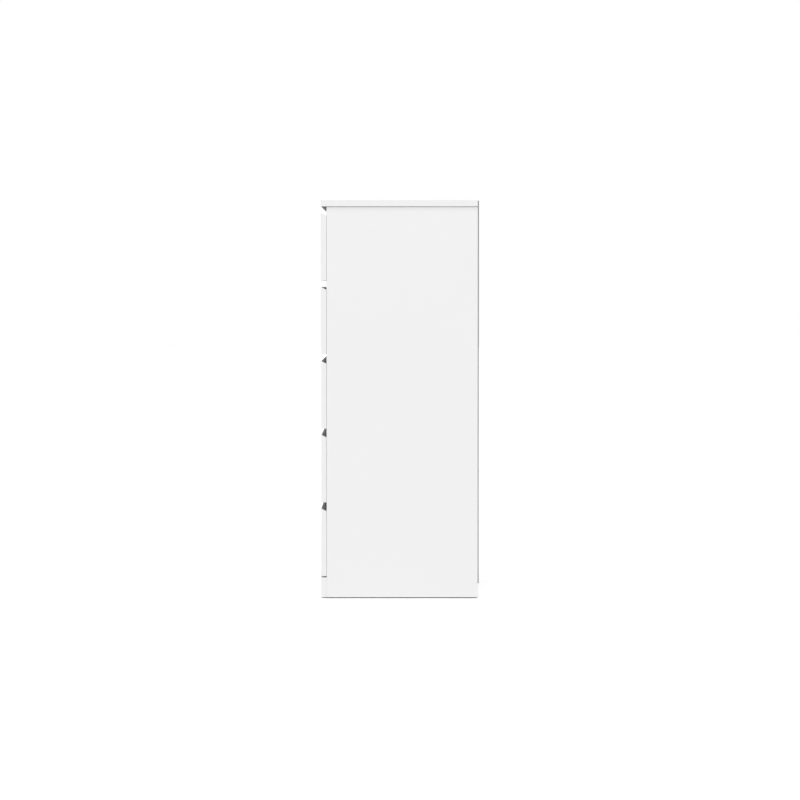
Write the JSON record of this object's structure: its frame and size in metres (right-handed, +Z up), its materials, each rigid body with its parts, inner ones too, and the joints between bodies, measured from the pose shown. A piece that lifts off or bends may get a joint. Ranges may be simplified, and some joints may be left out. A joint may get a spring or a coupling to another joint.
{
  "type": "tall chest of drawers",
  "caption": "Tall narrow-depth white chest of equal handleless drawers, each pulled by a bevelled top edge in a finger gap and running on steel roller runners.",
  "frame": {"origin": "on the floor, under the middle of the chest's outline", "axes": "+Z up, the drawer fronts face -Y, +X to the right of someone facing the fronts"},
  "size_m": [0.7, 0.436, 1.1],
  "materials": {
    "white_board": "white melamine-faced board, matt",
    "box_board": "white foil-wrapped drawer board, matt",
    "drawer_bottom_board": "white-faced hardboard, matt",
    "back_board": "grey-faced hardboard, matt",
    "runner_steel": "white powder-coated steel, satin",
    "zinc_steel": "bright zinc-plated, satin",
    "roller_nylon": "natural nylon, satin",
    "glide_plastic": "dark grey polypropylene, matt",
    "beech": "bare beech"
  },
  "bodies": {
    "carcass": {"top_panel": "white_board", "side_panel_left": "white_board", "side_panel_right": "white_board", "bottom_panel": "white_board", "back_panel": "back_board", "plinth_front": "white_board", "plinth_rear": "white_board", "cross_rail": "white_board", "cabinet_runners": "runner_steel", "runner_screws": "zinc_steel", "cam_bolts": "zinc_steel", "cam_locks": "zinc_steel", "wooden_dowels": "beech", "back_panel_nails": "zinc_steel", "foot_glides": "glide_plastic"},
    "drawer_1": {"drawer_1_front": "white_board", "drawer_1_side_left": "box_board", "drawer_1_side_right": "box_board", "drawer_1_back": "box_board", "drawer_1_bottom": "drawer_bottom_board", "drawer_1_runners": "runner_steel", "drawer_1_fasteners": "zinc_steel"},
    "drawer_1_rear_rollers": {"drawer_1_rear_rollers": "roller_nylon"},
    "drawer_2": {"drawer_2_front": "white_board", "drawer_2_side_left": "box_board", "drawer_2_side_right": "box_board", "drawer_2_back": "box_board", "drawer_2_bottom": "drawer_bottom_board", "drawer_2_runners": "runner_steel", "drawer_2_fasteners": "zinc_steel"},
    "drawer_2_rear_rollers": {"drawer_2_rear_rollers": "roller_nylon"},
    "drawer_3": {"drawer_3_front": "white_board", "drawer_3_side_left": "box_board", "drawer_3_side_right": "box_board", "drawer_3_back": "box_board", "drawer_3_bottom": "drawer_bottom_board", "drawer_3_runners": "runner_steel", "drawer_3_fasteners": "zinc_steel"},
    "drawer_3_rear_rollers": {"drawer_3_rear_rollers": "roller_nylon"},
    "drawer_4": {"drawer_4_front": "white_board", "drawer_4_side_left": "box_board", "drawer_4_side_right": "box_board", "drawer_4_back": "box_board", "drawer_4_bottom": "drawer_bottom_board", "drawer_4_runners": "runner_steel", "drawer_4_fasteners": "zinc_steel"},
    "drawer_4_rear_rollers": {"drawer_4_rear_rollers": "roller_nylon"},
    "drawer_5": {"drawer_5_front": "white_board", "drawer_5_side_left": "box_board", "drawer_5_side_right": "box_board", "drawer_5_back": "box_board", "drawer_5_bottom": "drawer_bottom_board", "drawer_5_runners": "runner_steel", "drawer_5_fasteners": "zinc_steel"},
    "drawer_5_rear_rollers": {"drawer_5_rear_rollers": "roller_nylon"},
    "cabinet_front_rollers_1": {"cabinet_front_rollers_1": "roller_nylon"},
    "cabinet_front_rollers_2": {"cabinet_front_rollers_2": "roller_nylon"},
    "cabinet_front_rollers_3": {"cabinet_front_rollers_3": "roller_nylon"},
    "cabinet_front_rollers_4": {"cabinet_front_rollers_4": "roller_nylon"},
    "cabinet_front_rollers_5": {"cabinet_front_rollers_5": "roller_nylon"}
  },
  "joints": [
    {"name": "drawer_1_slide", "type": "slide", "parent": "carcass", "child": "drawer_1", "axis": [0, -1, 0], "range_m": [0, 0.29]},
    {"name": "drawer_1_rear_rollers_spin", "type": "hinge", "parent": "drawer_1", "child": "drawer_1_rear_rollers", "pos_m": [0, 0.185, 0.89585], "axis": [1, 0, 0], "continuous": true},
    {"name": "drawer_2_slide", "type": "slide", "parent": "carcass", "child": "drawer_2", "axis": [0, -1, 0], "range_m": [0, 0.29]},
    {"name": "drawer_2_rear_rollers_spin", "type": "hinge", "parent": "drawer_2", "child": "drawer_2_rear_rollers", "pos_m": [0, 0.185, 0.69185], "axis": [1, 0, 0], "continuous": true},
    {"name": "drawer_3_slide", "type": "slide", "parent": "carcass", "child": "drawer_3", "axis": [0, -1, 0], "range_m": [0, 0.29]},
    {"name": "drawer_3_rear_rollers_spin", "type": "hinge", "parent": "drawer_3", "child": "drawer_3_rear_rollers", "pos_m": [0, 0.185, 0.48785], "axis": [1, 0, 0], "continuous": true},
    {"name": "drawer_4_slide", "type": "slide", "parent": "carcass", "child": "drawer_4", "axis": [0, -1, 0], "range_m": [0, 0.29]},
    {"name": "drawer_4_rear_rollers_spin", "type": "hinge", "parent": "drawer_4", "child": "drawer_4_rear_rollers", "pos_m": [0, 0.185, 0.28385], "axis": [1, 0, 0], "continuous": true},
    {"name": "drawer_5_slide", "type": "slide", "parent": "carcass", "child": "drawer_5", "axis": [0, -1, 0], "range_m": [0, 0.29]},
    {"name": "drawer_5_rear_rollers_spin", "type": "hinge", "parent": "drawer_5", "child": "drawer_5_rear_rollers", "pos_m": [0, 0.185, 0.07985], "axis": [1, 0, 0], "continuous": true},
    {"name": "cabinet_front_rollers_1_spin", "type": "hinge", "parent": "carcass", "child": "cabinet_front_rollers_1", "pos_m": [0, -0.1865, 0.89865], "axis": [1, 0, 0], "continuous": true},
    {"name": "cabinet_front_rollers_2_spin", "type": "hinge", "parent": "carcass", "child": "cabinet_front_rollers_2", "pos_m": [0, -0.1865, 0.69465], "axis": [1, 0, 0], "continuous": true},
    {"name": "cabinet_front_rollers_3_spin", "type": "hinge", "parent": "carcass", "child": "cabinet_front_rollers_3", "pos_m": [0, -0.1865, 0.49065], "axis": [1, 0, 0], "continuous": true},
    {"name": "cabinet_front_rollers_4_spin", "type": "hinge", "parent": "carcass", "child": "cabinet_front_rollers_4", "pos_m": [0, -0.1865, 0.28665], "axis": [1, 0, 0], "continuous": true},
    {"name": "cabinet_front_rollers_5_spin", "type": "hinge", "parent": "carcass", "child": "cabinet_front_rollers_5", "pos_m": [0, -0.1865, 0.08265], "axis": [1, 0, 0], "continuous": true}
  ],
  "couplings": [
    {"joint": "drawer_1_rear_rollers_spin", "follows": "drawer_1_slide", "rad_per_m": 111.11},
    {"joint": "drawer_2_rear_rollers_spin", "follows": "drawer_2_slide", "rad_per_m": 111.11},
    {"joint": "drawer_3_rear_rollers_spin", "follows": "drawer_3_slide", "rad_per_m": 111.11},
    {"joint": "drawer_4_rear_rollers_spin", "follows": "drawer_4_slide", "rad_per_m": 111.11},
    {"joint": "drawer_5_rear_rollers_spin", "follows": "drawer_5_slide", "rad_per_m": 111.11},
    {"joint": "cabinet_front_rollers_1_spin", "follows": "drawer_1_slide", "rad_per_m": 100},
    {"joint": "cabinet_front_rollers_2_spin", "follows": "drawer_2_slide", "rad_per_m": 100},
    {"joint": "cabinet_front_rollers_3_spin", "follows": "drawer_3_slide", "rad_per_m": 100},
    {"joint": "cabinet_front_rollers_4_spin", "follows": "drawer_4_slide", "rad_per_m": 100},
    {"joint": "cabinet_front_rollers_5_spin", "follows": "drawer_5_slide", "rad_per_m": 100}
  ]
}
